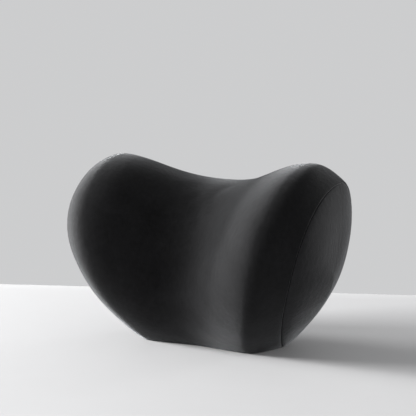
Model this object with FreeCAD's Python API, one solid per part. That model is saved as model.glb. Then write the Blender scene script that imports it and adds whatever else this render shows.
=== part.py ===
import FreeCAD, Part
import math
import os

from FreeCAD import Vector

# Chair headrest cushion: a moulded foam core in a sewn cover, standing on its small flat base.
# Millimetres. +X is the sitter's left-to-right axis, +Y points back to the chair, +Z is up.
# Origin: middle of the flat base, on the surface it stands on.

# ---- cushion body: fore-and-aft outline at three places across its width -------------------
# Each entry is (middle, crest of a side lobe, side seam).
FRONT_Y = (-64.5, -100.5, -76.0)     # foremost point
FRONT_Z = (65.5, 108.0, 102.5)       # its height
TOP_Y = (34.5, -1.0, 12.5)           # highest point
TOP_Z = (162.3, 188.5, 168.8)
BACK_Y = (54.0, 54.0, 49.0)          # rearmost point
BACK_Z = (78.0, 78.0, 78.0)
KEEL_Z = (-24.5, -21.0, -3.0)        # where front and back would meet, below the base plane
KEEL_Y = 5.5
LOBE_FRONT_AT = 0.83                 # crest's place across the half width, on the front
LOBE_TOP_AT = 0.84                   # the same, along the top edge
BASE_HALF_W = 77.4                   # half width between the side seams at z = 0
MID_HALF_W = 125.5                   # at MID_LEVEL
TOP_HALF_W = 137.4                   # at TOP_LEVEL
MID_LEVEL = 100.0
TOP_LEVEL = 175.0
UNDERCUT_POWER = 2.0                 # straightens the slope under the belly
UNDERCUT_ROUND = 0.25                # share of plain ellipse that keeps the keel round
SIDE_DOME = 15.5                     # how far a side panel bulges past its seam
SIDE_DOME_POWER = 0.67
SIDE_DOME_LEAN = (-0.12, 0.04)       # y and z lean of the bulge
SIDE_DOME_SOFT = 0.3                 # rounds the middle of the bulge

# ---- sewn cover -----------------------------------------------------------------------------
COVER_T = 2.4                        # laminated cover fabric
LAYER_GAP = 0.25
LINER_T = 0.8
SEAM_GAP = 0.12
SEAM_TRIM = 0.002                    # the same gap as a part of a turn
TOP_SEAM_Y = 42.0                    # the front panel wraps over the top to this plane
BASE_HEM = 1.2                       # base panel's edge inside the other panels
BASE_REACH = 0.955                   # and its end, as a share of the half width

# ---- zip along the rearmost line --------------------------------------------------------------
ZIP_Z = BACK_Z[0]
ZIP_HALF_L = 75.0
ZIP_MOUTH_H = 8.0
TAPE_W = 12.2
TAPE_T = 0.8
TAPE_Y = 49.9
COIL_GAP = 0.8                       # half of the space between the two rows
COIL_W = 2.0
COIL_T = 2.2
SLIDER_X = 70.0
SLIDER_L = 9.0
SLIDER_W = 7.2
PULL_L = 27.0
PULL_W = 6.8
PULL_T = 1.5

# ---- strap, buckle and adjuster; n is the distance outward from the strap's middle plane -------
STRAP_Y = 67.0
STRAP_Z = 106.0
STRAP_TILT = 6.0                     # degrees, so that the strap lies along the sloping back
STRAP_W = 25.0
STRAP_T = 1.4
SOCKET_BAR_X = -36.5
PLUG_BAR_X = 21.5
BAR_R = 1.5
WRAP_R = BAR_R + 0.15 + STRAP_T / 2  # middle line of the webbing round a bar
PRONG_PIVOT_X = 1.9
PRONG_PIVOT_Z = 8.3
ADJUSTER_X = 62.0
ADJUSTER_BAR_N = -0.6
ADJUSTER_BAR_R = 1.2
ADJUSTER_RAIL_T = 2.4
ADJUSTER_PITCH = 9.0                 # middle bar to outer bar
PATCH_T = 1.0

ROWS_U = 29
ROWS_T = 49
ROWS_R = 9


def across(u, trio, crest_at):
    """Value at place u (0 middle, 1 side seam) that passes through the trio."""
    middle, crest, seam = trio
    u = abs(u)
    if u <= crest_at:
        return middle + (crest - middle) * (1 - math.cos(math.pi * u / crest_at)) / 2
    k = (u - crest_at) / (1 - crest_at)
    return crest + (seam - crest) * (1 - math.cos(math.pi / 2 * k))


def half_width(z, inset):
    """Half width between the side seams at height z: a parabola through three levels."""
    a = BASE_HALF_W * (z - MID_LEVEL) * (z - TOP_LEVEL) / (MID_LEVEL * TOP_LEVEL)
    b = MID_HALF_W * z * (z - TOP_LEVEL) / (MID_LEVEL * (MID_LEVEL - TOP_LEVEL))
    c = TOP_HALF_W * z * (z - MID_LEVEL) / (TOP_LEVEL * (TOP_LEVEL - MID_LEVEL))
    return a + b + c - inset


def body_point(u, t, inset):
    """Point of the body's wrap-round face; t runs keel, front, top, back, keel."""
    front = math.cos(t) >= 0
    upper = math.sin(t) >= 0
    side_y = across(u, FRONT_Y, LOBE_FRONT_AT) + inset
    mid_z = across(u, FRONT_Z, LOBE_FRONT_AT)
    if not front:
        side_y = across(u, BACK_Y, LOBE_FRONT_AT) - inset
        mid_z = across(u, BACK_Z, LOBE_FRONT_AT)
    reach = abs(math.cos(t))
    if upper:
        end_y = across(u, TOP_Y, LOBE_FRONT_AT)
        end_z = across(u, TOP_Z, LOBE_TOP_AT) - inset
    else:
        end_y = KEEL_Y
        end_z = across(u, KEEL_Z, LOBE_FRONT_AT) + inset
        reach = (1 - UNDERCUT_ROUND) * reach ** UNDERCUT_POWER + UNDERCUT_ROUND * reach
    y = end_y + (side_y - end_y) * reach
    z = mid_z + (end_z - mid_z) * abs(math.sin(t))
    return Vector(u * half_width(z, inset), y, z)


def spline_through(points):
    """Interpolating spline at even parameters, so that neighbours share their edges exactly."""
    last = len(points) - 1
    curve = Part.BSplineCurve()
    curve.interpolate(Points=points, Parameters=[i / last for i in range(last + 1)])
    return curve


def surface_face(grid, pole=None):
    """Smooth face through a grid of points; pole closes the last row to a single point."""
    rows = [spline_through(row) for row in grid]
    nets = [row.getPoles() for row in rows]
    if pole is not None:
        nets.append([pole] * len(nets[0]))
    columns = [spline_through(list(column)) for column in zip(*nets)]
    poles = [list(line) for line in zip(*[column.getPoles() for column in columns])]
    surface = Part.BSplineSurface()
    surface.buildFromPolesMultsKnots(
        poles, columns[0].getMultiplicities(), rows[0].getMultiplicities(),
        columns[0].getKnots(), rows[0].getKnots(), False, False, 3, 3)
    return surface.toShape()


def solid_from(faces, tolerance=1e-3):
    sewn = Part.makeCompound(faces)
    sewn.sewShape(tolerance)
    solid = Part.makeSolid(sewn.Shells[0])
    if solid.Volume < 0:
        solid.reverse()
    return solid


def keel_start(u, inset):
    return -math.pi / 2


def keel_end(u, inset):
    return 1.5 * math.pi


def floor_front(u, inset):
    """Turn at which the front comes down to the base plane."""
    mid_z = across(u, FRONT_Z, LOBE_FRONT_AT)
    return -math.asin(mid_z / (mid_z - across(u, KEEL_Z, LOBE_FRONT_AT) - inset))


def floor_back(u, inset):
    mid_z = across(u, BACK_Z, LOBE_FRONT_AT)
    return math.pi + math.asin(mid_z / (mid_z - across(u, KEEL_Z, LOBE_FRONT_AT) - inset))


def top_seam(u, inset):
    """Turn at which the back meets the front panel, in the plane TOP_SEAM_Y."""
    top = across(u, TOP_Y, LOBE_FRONT_AT)
    back = across(u, BACK_Y, LOBE_FRONT_AT) - inset
    return math.pi - math.acos((TOP_SEAM_Y - top) / (back - top))


def zip_line(u, inset):
    return math.pi


def wrap_face(inset, start=keel_start, end=keel_end, trims=(0.0, 0.0), edge_u=1.0):
    """Face of the wrap-round surface between two turns, less a trim at each, closer rows near the seams."""
    count = max(15, round(ROWS_T * (end(0, inset) - start(0, inset)) / (2 * math.pi)))
    grid = []
    for i in range(ROWS_U):
        u = edge_u * math.sin(math.pi / 2 * (2 * i / (ROWS_U - 1) - 1))
        first = start(u, inset) + trims[0]
        run = end(u, inset) - trims[1] - first
        grid.append([body_point(u, first + run * j / (count - 1), inset) for j in range(count)])
    return surface_face(grid), grid


def softened(k):
    """Nearly k itself, but level at k = 0, so that the dome has no point."""
    full = math.hypot(1, SIDE_DOME_SOFT) - SIDE_DOME_SOFT
    return (math.hypot(k, SIDE_DOME_SOFT) - SIDE_DOME_SOFT) / full


def dome_face(side, inset):
    """Domed face beyond one side seam, closed to a pole."""
    loop = [body_point(side, -math.pi / 2 + 2 * math.pi * j / (ROWS_T - 1), inset)
            for j in range(ROWS_T)]
    ys = [p.y for p in loop]
    zs = [p.z for p in loop]
    middle = Vector(side * (MID_HALF_W - 2), (min(ys) + max(ys)) / 2, (min(zs) + max(zs)) / 2)
    lean = Vector(side, *SIDE_DOME_LEAN).normalize() * (SIDE_DOME - inset / 2)
    grid = []
    for i in range(ROWS_R - 1):
        k = math.cos(math.pi / 2 * i / (ROWS_R - 1))
        rise = middle + lean * (1 - k * k) ** SIDE_DOME_POWER
        scale = (softened(k), k, k)
        grid.append([rise + Vector(*[d * m for d, m in zip(p - middle, scale)]) for p in loop])
    return surface_face(grid, middle + lean), loop


def whole_shape(inset):
    """The cushion's closed outer shape, pulled in by inset, down to its keel."""
    faces = [wrap_face(inset)[0], dome_face(-1, inset)[0], dome_face(1, inset)[0]]
    return solid_from(faces, 0.02)


def body_solid(inset):
    return whole_shape(inset).common(above(inset))


def above(z):
    return Part.makeBox(400, 400, 300, Vector(-200, -200, z))


def strip(points_a, points_b):
    """Ruled wall between two rows of points."""
    return Part.makeRuledSurface(spline_through(points_a).toShape(), spline_through(points_b).toShape())


def wrap_panel(start, end, trims):
    """Cover fabric between the side seams, from one turn to another."""
    edge_u = 1 - SEAM_GAP / MID_HALF_W
    outer, outer_grid = wrap_face(0.0, start, end, trims, edge_u)
    inner, inner_grid = wrap_face(COVER_T, start, end, trims, edge_u)
    walls = [strip(outer_grid[i], inner_grid[i]) for i in (0, -1)]
    walls += [strip([row[j] for row in outer_grid], [row[j] for row in inner_grid]) for j in (0, -1)]
    return solid_from([outer, inner] + walls, 0.01)


def side_panel(side):
    outer, outer_loop = dome_face(side, 0.0)
    inner, inner_loop = dome_face(side, COVER_T)
    panel = solid_from([outer, inner, strip(outer_loop, inner_loop)], 0.01)
    return panel.common(above(0))


def box(x, y, z):
    """Box from (low, high) pairs."""
    return Part.makeBox(x[1] - x[0], y[1] - y[0], z[1] - z[0], Vector(x[0], y[0], z[0]))


def rounded_box(x, y, z, radius):
    solid = box(x, y, z)
    return solid.makeFillet(radius, solid.Edges)


def rod(x, y, z, radius):
    """Round bar along Z between the two heights in z."""
    return Part.makeCylinder(radius, z[1] - z[0], Vector(x, y, z[0]))


def band(points, thickness, z):
    """Webbing that follows a line of (x, y) points, with mitred bends."""
    sides = [[], []]
    last = len(points) - 1
    for i, (x, y) in enumerate(points):
        ways = []
        for a, b in ((i - 1, i), (i, i + 1)):
            if a >= 0 and b <= last:
                run = Vector(points[b][0] - points[a][0], points[b][1] - points[a][1], 0)
                ways.append(run.normalize())
        mean = (ways[0] + ways[-1]).normalize()
        reach = thickness / 2 / mean.dot(ways[0])
        normal = Vector(-mean.y, mean.x, 0) * reach
        sides[0].append(Vector(x, y, z[0]) + normal)
        sides[1].append(Vector(x, y, z[0]) - normal)
    outline = sides[0] + sides[1][::-1]
    face = Part.Face(Part.makePolygon(outline + outline[:1]))
    return face.extrude(Vector(0, 0, z[1] - z[0]))


def half_wrap(x, y, side, z):
    """Webbing that goes half round a bar, on the side towards -X (-1) or +X (+1)."""
    ring = rod(x, y, z, WRAP_R + STRAP_T / 2).cut(rod(x, y, z, WRAP_R - STRAP_T / 2))
    low = x if side > 0 else x - 20
    return ring.common(box((low, low + 20), (y - 20, y + 20), z))


def tilted(shape):
    """From the strap's upright frame to its place along the sloping back."""
    placed = shape.copy()
    placed.translate(Vector(0, STRAP_Y, STRAP_Z))
    placed.rotate(Vector(0, STRAP_Y, STRAP_Z), Vector(1, 0, 0), STRAP_TILT)
    return placed


# ---- cushion ------------------------------------------------------------------------------------
def zip_pocket():
    """Room behind the zip, pressed into the liner and the foam."""
    tapes = box((-84, 84), (TAPE_Y - 0.4, 62), (ZIP_Z - 15, ZIP_Z + 15))
    slider = box((-82, 82), (TAPE_Y - 1.8, 62), (ZIP_Z - 5.5, ZIP_Z + 5.5))
    return tapes.fuse(slider)


def foam_core():
    inset = COVER_T + LINER_T + 2 * LAYER_GAP
    return body_solid(inset).cut(zip_pocket())


def inner_liner():
    inset = COVER_T + LAYER_GAP
    return body_solid(inset).cut(body_solid(inset + LINER_T)).cut(zip_pocket())


def zip_mouth():
    return box((-ZIP_HALF_L - 4, ZIP_HALF_L + 4), (42, 62),
               (ZIP_Z - ZIP_MOUTH_H / 2, ZIP_Z + ZIP_MOUTH_H / 2))


def cover_panels():
    return {
        "front_panel": wrap_panel(floor_front, top_seam, (0, SEAM_TRIM)),
        "upper_back_panel": wrap_panel(top_seam, zip_line, (SEAM_TRIM, SEAM_TRIM)).cut(zip_mouth()),
        "lower_back_panel": wrap_panel(zip_line, floor_back, (SEAM_TRIM, 0)).cut(zip_mouth()),
        "left_side_panel": side_panel(-1),
        "right_side_panel": side_panel(1),
    }


def base_panel():
    """Flat sheet inside the hems of the other panels."""
    inset = COVER_T + BASE_HEM
    places = [BASE_REACH * (i / 20 - 1) for i in range(41)]
    front = [body_point(u, floor_front(u, inset), inset) for u in places]
    back = [body_point(u, floor_back(u, inset), inset) for u in reversed(places)]
    for point in front + back:
        point.z = 0
    edges = [spline_through(front).toShape(), Part.makeLine(front[-1], back[0]),
             spline_through(back).toShape(), Part.makeLine(back[-1], front[0])]
    return Part.Face(Part.Wire(edges)).extrude(Vector(0, 0, COVER_T - 0.3))


# ---- zip ----------------------------------------------------------------------------------------
def zip_tape(side):
    z = sorted((ZIP_Z + side * COIL_GAP, ZIP_Z + side * (COIL_GAP + TAPE_W)))
    return box((-ZIP_HALF_L - 6, ZIP_HALF_L + 6), (TAPE_Y, TAPE_Y + TAPE_T), z)


def zip_coil(side):
    z = sorted((ZIP_Z + side * COIL_GAP, ZIP_Z + side * (COIL_GAP + COIL_W)))
    y = (TAPE_Y + TAPE_T + 0.02, TAPE_Y + TAPE_T + COIL_T)
    bar = box((-ZIP_HALF_L, ZIP_HALF_L), y, z)
    outer = [e for e in bar.Edges if e.Length > ZIP_HALF_L and e.CenterOfMass.y > y[0] + 1]
    return bar.makeFillet(0.8, outer)


def zip_end_stops():
    half_h = COIL_GAP + COIL_W
    y = (TAPE_Y + TAPE_T + 0.02, TAPE_Y + TAPE_T + COIL_T + 0.2)
    stops = []
    for side in (-1, 1):
        x = sorted((side * (ZIP_HALF_L + 0.2), side * (ZIP_HALF_L + 2.4)))
        stops.append(rounded_box(x, y, (ZIP_Z - half_h, ZIP_Z + half_h), 0.5))
    return Part.makeCompound(stops)


PLATE_Y = TAPE_Y + TAPE_T + COIL_T + 0.4      # inner face of the slider's outer plate
PLATE_T = 1.2
PIN_Y = PLATE_Y + PLATE_T + 1.4


def zip_slider():
    x = (SLIDER_X - SLIDER_L / 2, SLIDER_X + SLIDER_L / 2)
    z = (ZIP_Z - SLIDER_W / 2, ZIP_Z + SLIDER_W / 2)
    outer = rounded_box(x, (PLATE_Y, PLATE_Y + PLATE_T), z, 0.5)
    inner = rounded_box(x, (TAPE_Y - 1.3, TAPE_Y - 0.3), z, 0.45)
    neck = box((x[1] - 2.4, x[1] - 0.6), (TAPE_Y - 0.5, PLATE_Y + 0.2), (ZIP_Z - 0.5, ZIP_Z + 0.5))
    arch_z = (ZIP_Z - 0.9, ZIP_Z + 0.9)
    arch = rounded_box((SLIDER_X - 3.4, SLIDER_X + 3.4), (PLATE_Y + 0.3, PIN_Y + 2.2), arch_z, 0.4)
    arch = arch.cut(box((SLIDER_X - 2.2, SLIDER_X + 2.2), (PLATE_Y + PLATE_T, PIN_Y + 1.1), arch_z))
    return outer.fuse([inner, neck, arch]).removeSplitter()


def zip_pull():
    """Tab with two arms on a cross pin that lies under the slider's arch."""
    pin = rod(SLIDER_X, PIN_Y, (ZIP_Z - 2.4, ZIP_Z + 2.4), 0.8)
    y = (PIN_Y - PULL_T / 2, PIN_Y + PULL_T / 2)
    arms = [box((SLIDER_X - 5.4, SLIDER_X), y, sorted((ZIP_Z + s * 1.3, ZIP_Z + s * 2.4))) for s in (-1, 1)]
    eyes = [rod(SLIDER_X, PIN_Y, sorted((ZIP_Z + s * 1.3, ZIP_Z + s * 2.4)), 1.15) for s in (-1, 1)]
    x = (SLIDER_X - PULL_L, SLIDER_X - 4.6)
    tab = box(x, y, (ZIP_Z - PULL_W / 2, ZIP_Z + PULL_W / 2))
    corners = [e for e in tab.Edges if abs(e.CenterOfMass.y - PIN_Y) < 0.01]
    tab = tab.makeFillet(2.0, corners)
    hole = Part.makeCylinder(1.5, 6, Vector(x[0] + 4.2, y[0] - 2, ZIP_Z), Vector(0, 1, 0))
    return tab.cut(hole).fuse([pin] + arms + eyes).removeSplitter()


# ---- strap, in its own upright frame: x, n outward, z up from the strap's middle ------------------
WEB_Z = (-STRAP_W / 2, STRAP_W / 2)
SEWN_LINE = ((121.0, -16.3), (112.0, -14.0), (103.0, -13.1))    # along the back panel
LIFT_LINE = ((96.0, -11.6), (88.0, -8.2))                       # from there up to its level


def strap_end(side):
    """Line of webbing from its sewn end to where it levels out behind the back."""
    return [(side * x, n) for x, n in SEWN_LINE + LIFT_LINE]


def left_strap():
    run = band(strap_end(-1) + [(SOCKET_BAR_X - 5, -WRAP_R), (SOCKET_BAR_X, -WRAP_R)], STRAP_T, WEB_Z)
    back = band([(SOCKET_BAR_X - 22, WRAP_R), (SOCKET_BAR_X, WRAP_R)], STRAP_T, WEB_Z)
    return run.fuse([half_wrap(SOCKET_BAR_X, 0, 1, WEB_Z), back])


def right_strap():
    over_n = ADJUSTER_BAR_N + ADJUSTER_BAR_R + 0.1 + STRAP_T + 0.2 + STRAP_T / 2
    line = [(PLUG_BAR_X, WRAP_R), (PLUG_BAR_X + 5, WRAP_R), (44, over_n), (ADJUSTER_X + 14, over_n)]
    run = band(line + strap_end(1)[::-1], STRAP_T, WEB_Z)
    tail = band([(PLUG_BAR_X, -WRAP_R), (PLUG_BAR_X + 3, -WRAP_R)], STRAP_T, WEB_Z)
    return run.fuse([half_wrap(PLUG_BAR_X, 0, -1, WEB_Z), tail])


LOOP_R = ADJUSTER_BAR_R + 0.1 + STRAP_T / 2


def strap_return():
    """Inner run of webbing, from the plug's bar to the adjuster."""
    ends = [(PLUG_BAR_X + 3.1, -WRAP_R), (ADJUSTER_X - 6.1, ADJUSTER_BAR_N - LOOP_R)]
    return band(ends, STRAP_T, WEB_Z)


def strap_end_loop():
    """End of the webbing, sewn round the adjuster's middle bar."""
    outer = rod(ADJUSTER_X, ADJUSTER_BAR_N, WEB_Z, LOOP_R + STRAP_T / 2)
    ring = outer.cut(rod(ADJUSTER_X, ADJUSTER_BAR_N, WEB_Z, LOOP_R - STRAP_T / 2))
    lead = band([(ADJUSTER_X - 6, ADJUSTER_BAR_N - LOOP_R), (ADJUSTER_X, ADJUSTER_BAR_N - LOOP_R)],
                STRAP_T, WEB_Z)
    return ring.fuse(lead)


def strap_adjuster():
    """Frame of two rails and three bars: the strap runs under the outer two and over the middle."""
    half_z = STRAP_W / 2 + 0.6
    outer_n = ADJUSTER_BAR_N + ADJUSTER_BAR_R + 0.1 + STRAP_T + 0.2 + STRAP_T + 0.3 + 1.2
    pieces = [rod(ADJUSTER_X, ADJUSTER_BAR_N, (-half_z - 1, half_z + 1), ADJUSTER_BAR_R)]
    for side in (-1, 1):
        pieces.append(rod(ADJUSTER_X + side * ADJUSTER_PITCH, outer_n, (-half_z - 1, half_z + 1), 1.2))
        z = sorted((side * half_z, side * (half_z + ADJUSTER_RAIL_T)))
        x = (ADJUSTER_X - ADJUSTER_PITCH - 1.6, ADJUSTER_X + ADJUSTER_PITCH + 1.6)
        pieces.append(rounded_box(x, (ADJUSTER_BAR_N - 1.8, outer_n + 1.4), z, 0.9))
    return pieces[0].fuse(pieces[1:]).removeSplitter()


def buckle_socket():
    shell = rounded_box((-27, 3), (-4.5, 4.5), (-16.5, 16.5), 1.6)
    shell = shell.cut(box((-23, 4), (-2.6, 2.6), (-13.2, 13.2)))
    shell = shell.cut(box((-20.2, -8.8), (-2.6, 2.6), (-18, 18)))
    rails = []
    for side in (-1, 1):
        z = sorted((side * 13.4, side * 16.0))
        rails.append(rounded_box((SOCKET_BAR_X - 2, -26), (-2.2, 2.2), z, 0.9))
    bar = rod(SOCKET_BAR_X, 0, (-14, 14), BAR_R)
    return shell.fuse(rails + [bar]).removeSplitter()


def buckle_plug():
    base = rounded_box((3.4, 12), (-4.2, 4.2), (-16.2, 16.2), 1.5)
    tongue = rounded_box((-21, 5), (-2.1, 2.1), (-1.6, 1.6), 0.6)
    rails = []
    for side in (-1, 1):
        z = sorted((side * 13.4, side * 16.0))
        rails.append(rounded_box((11, PLUG_BAR_X + 2), (-2.2, 2.2), z, 0.9))
    bar = rod(PLUG_BAR_X, 0, (-14, 14), BAR_R)
    return base.fuse([tongue, bar] + rails).removeSplitter()


def plug_prong(side):
    """Springy arm of the plug with the barb that a finger presses inward."""
    outline = [(PRONG_PIVOT_X, 7.0), (-17.5, 7.0), (-19.0, 9.0), (-17.0, 16.3), (-12.0, 16.3),
               (-9.5, 13.2), (-9.5, 9.6), (PRONG_PIVOT_X, 9.6)]
    points = [Vector(x, -2.2, side * z) for x, z in outline]
    arm = Part.Face(Part.makePolygon(points + points[:1])).extrude(Vector(0, 4.4, 0))
    corners = [e for e in arm.Edges if abs(e.CenterOfMass.y) < 0.01 and e.CenterOfMass.x < -11]
    arm = arm.makeFillet(0.8, corners)
    root = Part.makeCylinder(1.3, 4.4, Vector(PRONG_PIVOT_X, -2.2, side * PRONG_PIVOT_Z), Vector(0, 1, 0))
    return arm.fuse(root).removeSplitter()


def anchor_patch(side):
    """Reinforcing patch sewn over the end of the strap."""
    lift = STRAP_T / 2 + 0.3 + PATCH_T / 2
    overhang = ((123.5, -17.0),) + SEWN_LINE
    return band([(side * x, n + lift) for x, n in overhang], PATCH_T, (-17, 17))


nodes = {"foam_core": foam_core(), "inner_liner": inner_liner(), "base_panel": base_panel()}
nodes.update(cover_panels())
nodes.update({
    "upper_zip_tape": zip_tape(1),
    "lower_zip_tape": zip_tape(-1),
    "upper_zip_coil": zip_coil(1),
    "lower_zip_coil": zip_coil(-1),
    "zip_end_stops": zip_end_stops(),
    "zip_slider": zip_slider(),
    "zip_pull": zip_pull(),
})
strap_pieces = {
    "left_strap": left_strap(),
    "right_strap": right_strap(),
    "strap_return": strap_return(),
    "strap_end_loop": strap_end_loop(),
    "strap_adjuster": strap_adjuster(),
    "buckle_socket": buckle_socket(),
    "buckle_plug": buckle_plug(),
    "upper_prong": plug_prong(1),
    "lower_prong": plug_prong(-1),
    "left_anchor_patch": anchor_patch(-1),
    "right_anchor_patch": anchor_patch(1),
}
nodes.update({name: tilted(shape) for name, shape in strap_pieces.items()})

os.makedirs("parts", exist_ok=True)
for name, shape in nodes.items():
    shape.exportStep("parts/" + name + ".step")
    size = shape.BoundBox
    print(name, shape.isValid(), len(shape.Solids), round(shape.Volume),
          round(size.XLength, 1), round(size.YLength, 1), round(size.ZLength, 1))
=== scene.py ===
import math

import bmesh
import bpy
import numpy as np
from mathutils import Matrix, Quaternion, Vector
from mathutils.kdtree import KDTree


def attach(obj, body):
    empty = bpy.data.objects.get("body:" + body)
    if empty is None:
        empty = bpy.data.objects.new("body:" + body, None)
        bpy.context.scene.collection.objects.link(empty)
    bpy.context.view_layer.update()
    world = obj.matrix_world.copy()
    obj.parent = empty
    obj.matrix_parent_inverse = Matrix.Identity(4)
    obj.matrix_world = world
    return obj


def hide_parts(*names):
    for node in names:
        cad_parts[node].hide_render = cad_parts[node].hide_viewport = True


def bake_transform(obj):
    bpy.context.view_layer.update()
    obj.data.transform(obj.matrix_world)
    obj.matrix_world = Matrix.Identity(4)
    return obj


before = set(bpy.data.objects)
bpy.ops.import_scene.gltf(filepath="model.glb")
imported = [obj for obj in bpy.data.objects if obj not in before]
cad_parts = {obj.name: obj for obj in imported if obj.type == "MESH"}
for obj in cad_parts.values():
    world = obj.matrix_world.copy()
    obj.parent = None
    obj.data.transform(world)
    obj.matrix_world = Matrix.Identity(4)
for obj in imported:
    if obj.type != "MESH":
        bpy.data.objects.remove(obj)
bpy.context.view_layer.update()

MM = 0.001

# ---- the cushion's shape in millimetres ----
# Each trio is at the middle, the lobe's crest and the side seam. The formula is the CAD's. The
# values are closer to the photo: the lobes are rounder than the CAD panels, by up to 5 mm.
FRONT_Y = (-68.4, -103.0, -76.4)
FRONT_Z = (63.6, 104.9, 102.3)
TOP_Y = (31.5, -1.5, 7.6)
TOP_Z = (162.7, 188.5, 170.2)
BACK_Y = (54.0, 54.0, 49.0)
BACK_Z = 78.0
KEEL_Z = (-27.9, -26.9, -3.0)
KEEL_Y = 5.5
LOBE_FRONT_AT = 0.74
LOBE_BACK_AT = 0.83
TOP_HOLLOW = 1.37
CREST_AVERAGE = ((-0.07, 0.15), (-0.035, 0.2), (0.0, 0.3), (0.035, 0.2), (0.07, 0.15))
LOBE_TOP_AT = 0.8
BASE_HALF_W = 79.2
MID_HALF_W = 127.0
TOP_HALF_W = 139.4
MID_LEVEL = 100.0
TOP_LEVEL = 175.0
UNDERCUT_POWER = 1.99
UNDERCUT_ROUND = 0.25
SIDE_DOME = 15.8
SIDE_DOME_POWER = 0.81
SIDE_DOME_LEAN = (-0.12, 0.04)
SIDE_DOME_SOFT = 0.3
TOP_SEAM_Y = 42.0
COVER_T = 2.2
SIDE_FLOOR = 0.2               # level that the side covers end at
LINER_INSET = 3.8
LINER_T = 0.7
LINER_SPACING = 4.0
FOAM_INSET = 5.2
FOAM_SPACING = 5.0
DOME_CENTRE_IN = 2.0           # the side bulge's centre, inside MID_HALF_W
DOME_SAMPLES = 241
TINY = 1e-12
NEAR_TIE = 1e-9                # mm within which two seams count as equally near
MERGE = 1e-5                   # metres within which points are one
FINE_MERGE = 1e-7

# ---- sewing ----
RIM = (0.0, 0.12, 0.3, 0.55, 0.9, 1.35, 1.9, 2.7, 3.8)   # rows beside a seam, mm from it
FRONT_RIM_R = 1.0
SIDE_RIM_R = 1.2
SEAM_PULL = 0.5                # how far the seams draw the fabric in, mm
SEAM_PULL_RUN = 7.0
PUCKER = 0.16
PUCKER_PITCH = 9.0
PUCKER_START = 1.2             # mm from the seam over which the gathers begin and die away
PUCKER_RUN = 5.0
DRIFT = 0.35                   # slow unevenness of hand-filled padding, mm
FRONT_PROUD = 0.45             # the front's hem stands above the side's
SIDE_PROUD = -0.35
FRONT_STEP = 1.9               # mesh steps, mm
BACK_STEP = 2.0
SIDE_STEP = 1.6
SIDE_COLUMNS = 320
MIDDLE_SAMPLES = 200
PANEL_W = 250.0                # length that the rows across a panel are set out on
DOME_W = 75.0                  # the same from the side seam to the dome's pole
EDGE_GAP = 0.15
BASE_SAMPLES = 121
BASE_HEM = 2.4
BASE_REACH = 40.0
BASE_RIM_R = 1.0
BASE_RIM_SHARE = 0.8
BASE_RIM_SCALES = (0.965, 0.963, 0.958, 0.95, 0.94, 0.925)
BASE_FLAT_SCALES = (0.9, 0.02, 26)   # from, to, count
BASE_LEVEL = 0.12
BASE_TOP = 2.0
BASE_WEAVE = 0.06
BASE_WEAVE_RUN = 2.1

# ---- swell of the stuffed cover, simulated as cloth ----
SIM_INSET = 2.0
SIM_SPACING = 6.0
SIM_VOXEL = 0.005
SIM_GRIP_RUN = 11.0            # mm from a seam over which the cover is held
SIDE_SEAM_SAMPLES = 300
TOP_SEAM_SAMPLES = 120
SIM_FLOOR = 4.0
SIM_PRESSURE = 4.0
SIM_STIFFNESS = 4.0
SIM_BENDING = 0.5
SIM_FRAMES = 20
SIM_CAP = 4.0
SIM_SHARE = 0.6
SIM_FADE = 12.0
SIM_NEIGHBOURS = 8
SIM_BLUR = 2.0
SIM_SMOOTHINGS = 4

# ---- zip ----
ZIP_Z = 78.0
ZIP_HALF_L = 75.0
MOUTH_HALF_L = 79.0
MOUTH_HALF_H = 4.0
MOUTH_SEAM_H = 0.12            # half height where it is a plain seam
MOUTH_CLOSING = 3.0            # half the run over which it closes
POCKET_FROM_Y = 40.0           # room for the zip in the layers under the cover
POCKET_HALF_L = 84.0
POCKET_HALF_H = 15.0
POCKET_SLOPE = 1.2
LINER_LEVELS = (49.6, 48.4)    # y behind the zip and behind its slider
LINER_INNER_LEVELS = (48.9, 47.7)
FOAM_LEVELS = (48.2, 47.0)
SLIDER_HALF_H = 6.5
TAPE_Y = 49.9
TAPE_T = 0.8
TAPE_W = 12.2
TAPE_RIM = np.array([0, 0.1, 0.3, 0.6])
TAPE_RIB = 0.05
TAPE_RIB_PITCH = 1.7
COIL_GAP = 0.8
COIL_T = 2.2
COIL_PITCH = 1.5
COIL_THREAD_R = 0.36
TAPE_END = 6.0                 # tape beyond the coil at each end
HEM_LINE = 7.0                 # stitch line's distance from the zip's middle

# ---- strap, in its own upright frame: x, n outward, z up ----
STRAP_Y = 67.0
STRAP_Z = 106.0
STRAP_TILT = 6.0
STRAP_W = 25.0
STRAP_T = 1.4
SOCKET_BAR_X = -36.5
PLUG_BAR_X = 21.5
BAR_R = 1.5
WRAP_R = BAR_R + 0.15 + STRAP_T / 2
ADJUSTER_X = 62.0
ADJUSTER_BAR_N = -0.6
ADJUSTER_BAR_R = 1.2
LOOP_R = ADJUSTER_BAR_R + 0.1 + STRAP_T / 2
WEB_RIBS = 16
WEB_STEP = 0.9
WEB_WOBBLE = 0.02
PATCH_T = 1.0
PATCH_HALF_H = 17.0
PATCH_GAP = 0.3
PATCH_END = (123.5, -17.0)
PATCH_STEP = 0.6
WEB_RIB_H = 0.14
LOOP_RIB_H = 0.12
LOOP_STEP = 0.7
SEWN_LINE = ((121.0, -16.3), (112.0, -14.0), (103.0, -13.1))
LIFT_LINE = ((96.0, -11.6), (88.0, -8.2))

# ---- stitches ----
STITCH_L = 2.3
STITCH_GAP = 1.0
THREAD_R = 0.27
THREAD_SIDES = 6
BOX_OUT = 119.5                # box stitch on a patch: its ends in x and half its height
BOX_IN = 105.0
BOX_HALF_H = 14.0

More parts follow.
